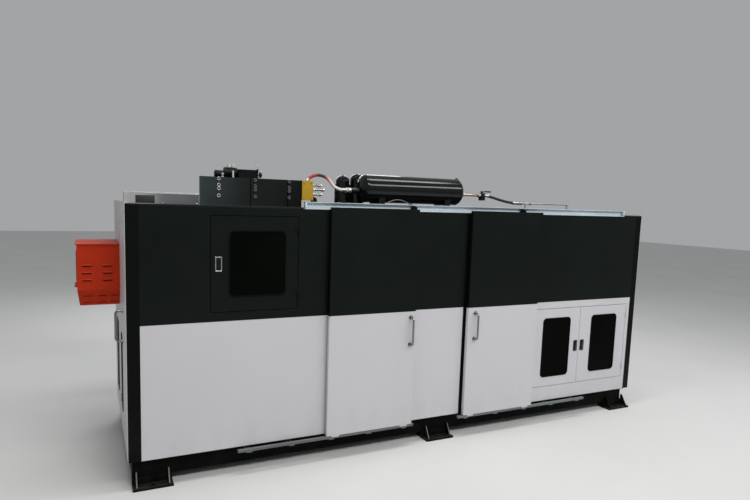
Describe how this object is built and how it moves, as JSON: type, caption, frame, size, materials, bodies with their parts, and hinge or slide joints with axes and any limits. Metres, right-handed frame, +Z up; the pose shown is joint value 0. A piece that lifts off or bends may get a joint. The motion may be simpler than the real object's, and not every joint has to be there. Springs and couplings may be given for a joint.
{
  "type": "stretch blow moulding machine",
  "caption": "Long enclosed stretch blow moulding machine for bottles, with sliding guard doors, a clamp tower with air tank on the roof and an operator console on its left end.",
  "frame": {"origin": "on the floor, in the middle of the four corner anchor holes", "axes": "+X along the machine towards its right end as seen from the sliding doors, +Y from the doors towards the back, +Z up"},
  "size_m": [4.847, 1.567, 2.166],
  "materials": {
    "black_paint": "semi-gloss black paint",
    "frame_black": "satin black paint",
    "light_paint": "satin light grey paint",
    "end_paint": "satin light grey paint",
    "roof_paint": "satin grey paint",
    "rail_metal": "satin blue-grey paint",
    "cover_metal": "satin grey paint",
    "orange_paint": "textured orange-red paint",
    "yellow_block": "satin yellow paint",
    "tank_black": "glossy black paint",
    "handle_steel": "brushed steel",
    "machined_steel": "machined steel",
    "chrome": "polished chrome",
    "mould_alloy": "machined aluminium",
    "oven_alloy": "sheet aluminium",
    "smoked_pane": "dark tinted clear plastic",
    "screen": "dark screen glass",
    "black_plastic": "black plastic",
    "red_plastic": "red plastic",
    "red_hose": "rubber hose, red at the start and pale at the end",
    "black_hose": "black rubber hose"
  },
  "bodies": {
    "cabinet": {"base_frame": "frame_black", "foot_brackets": "frame_black", "front_frame": "frame_black", "rear_frame": "frame_black", "cross_members": "frame_black", "roof_panels": "roof_paint", "left_end_wall": "end_paint", "end_wall_pane": "smoked_pane", "right_end_wall": "end_paint", "rear_panels": "end_paint", "front_upper_left": "black_paint", "front_upper_middle": "black_paint", "front_upper_right": "black_paint", "front_lower_plain": "light_paint", "front_lower_right": "light_paint", "top_rail": "rail_metal", "bottom_rails": "rail_metal", "cover_channel": "cover_metal", "console_box": "orange_paint", "touch_screen": "screen", "clamp_frame": "frame_black", "stretch_drive": "black_paint", "manifold_block": "yellow_block", "air_tank": "tank_black", "air_filters": "tank_black", "air_fittings": "machined_steel", "arch_hose": "red_hose", "outlet_hose": "black_hose", "oven_bank": "oven_alloy", "preform_chain": "machined_steel", "control_plate": "oven_alloy"},
    "window_leaf": {"window_door": "black_paint", "window_pane": "smoked_pane", "window_lock": "chrome"},
    "window_catch": {"window_paddle": "black_plastic"},
    "service_leaf_left": {"service_door_left": "light_paint", "service_pane_left": "smoked_pane"},
    "service_catch_left": {"service_paddle_left": "black_plastic"},
    "service_leaf_right": {"service_door_right": "light_paint", "service_pane_right": "smoked_pane"},
    "service_catch_right": {"service_paddle_right": "black_plastic"},
    "end_leaf": {"end_door": "end_paint", "end_door_pane": "smoked_pane", "end_handle": "handle_steel"},
    "sliding_1": {"door_1_upper": "black_paint", "door_1_lower": "light_paint", "door_1_handle": "handle_steel"},
    "roller_1": {"door_1_roller": "black_plastic"},
    "sliding_2": {"door_2_upper": "black_paint", "door_2_lower": "light_paint", "door_2_handle": "handle_steel"},
    "roller_2": {"door_2_roller": "black_plastic"},
    "stop_button": {"emergency_stop": "red_plastic"},
    "clamp_half_front": {"platen_front": "machined_steel", "mould_front": "mould_alloy"},
    "clamp_half_rear": {"platen_rear": "machined_steel", "mould_rear": "mould_alloy"},
    "stretch_unit": {"stretch_beam": "machined_steel"},
    "blow_unit": {"blow_head": "machined_steel"},
    "base_unit": {"base_mould": "mould_alloy"}
  },
  "joints": [
    {"name": "door_1_slide", "type": "slide", "parent": "cabinet", "child": "sliding_1", "axis": [1, 0, 0], "range_m": [-0.65, 0]},
    {"name": "door_2_slide", "type": "slide", "parent": "cabinet", "child": "sliding_2", "axis": [1, 0, 0], "range_m": [0, 0.62]},
    {"name": "door_1_roller_spin", "type": "hinge", "parent": "sliding_1", "child": "roller_1", "pos_m": [-0.236, -0.715, 1.8693], "axis": [0, 1, 0], "continuous": true},
    {"name": "door_2_roller_spin", "type": "hinge", "parent": "sliding_2", "child": "roller_2", "pos_m": [0.82, -0.715, 1.8693], "axis": [0, 1, 0], "continuous": true},
    {"name": "window_door_swing", "type": "hinge", "parent": "cabinet", "child": "window_leaf", "pos_m": [-1.157, -0.7315, 1.469], "axis": [0, 0, 1], "range_deg": [0, 110]},
    {"name": "window_paddle_turn", "type": "hinge", "parent": "window_leaf", "child": "window_catch", "pos_m": [-1.711, -0.72, 1.507], "axis": [-1, 0, 0], "range_deg": [0, 35], "stiffness_Nm_per_rad": 0.3, "springref_deg": -5.73},
    {"name": "service_left_swing", "type": "hinge", "parent": "cabinet", "child": "service_leaf_left", "pos_m": [1.013, -0.7315, 0.673], "axis": [0, 0, 1], "range_deg": [-110, 0]},
    {"name": "service_left_paddle_turn", "type": "hinge", "parent": "service_leaf_left", "child": "service_catch_left", "pos_m": [1.515, -0.72, 0.705], "axis": [1, 0, 0], "range_deg": [-35, 0], "stiffness_Nm_per_rad": 0.3, "springref_deg": 5.73},
    {"name": "service_right_swing", "type": "hinge", "parent": "cabinet", "child": "service_leaf_right", "pos_m": [2.135, -0.7315, 0.673], "axis": [0, 0, 1], "range_deg": [0, 110]},
    {"name": "service_right_paddle_turn", "type": "hinge", "parent": "service_leaf_right", "child": "service_catch_right", "pos_m": [1.595, -0.72, 0.705], "axis": [-1, 0, 0], "range_deg": [0, 35], "stiffness_Nm_per_rad": 0.3, "springref_deg": -5.73},
    {"name": "end_door_swing", "type": "hinge", "parent": "cabinet", "child": "end_leaf", "pos_m": [-2.2915, -0.083, 1.025], "axis": [0, 0, 1], "range_deg": [-75, 0]},
    {"name": "emergency_stop_press", "type": "slide", "parent": "cabinet", "child": "stop_button", "axis": [1, 0, 0], "range_m": [0, 0.005], "stiffness_N_per_m": 1500},
    {"name": "clamp_front_slide", "type": "slide", "parent": "cabinet", "child": "clamp_half_front", "axis": [0, 1, 0], "range_m": [-0.1, 0]},
    {"name": "clamp_rear_slide", "type": "slide", "parent": "cabinet", "child": "clamp_half_rear", "axis": [0, 1, 0], "range_m": [0, 0.1]},
    {"name": "stretch_slide", "type": "slide", "parent": "cabinet", "child": "stretch_unit", "axis": [0, 0, 1], "range_m": [-0.285, 0]},
    {"name": "blow_head_slide", "type": "slide", "parent": "cabinet", "child": "blow_unit", "axis": [0, 0, 1], "range_m": [-0.02, 0]},
    {"name": "base_mould_slide", "type": "slide", "parent": "cabinet", "child": "base_unit", "axis": [0, 0, 1], "range_m": [-0.06, 0]}
  ],
  "couplings": [
    {"joint": "door_1_roller_spin", "follows": "door_1_slide", "rad_per_m": 50},
    {"joint": "door_2_roller_spin", "follows": "door_2_slide", "rad_per_m": 50},
    {"joint": "clamp_rear_slide", "follows": "clamp_front_slide", "ratio": -1}
  ]
}
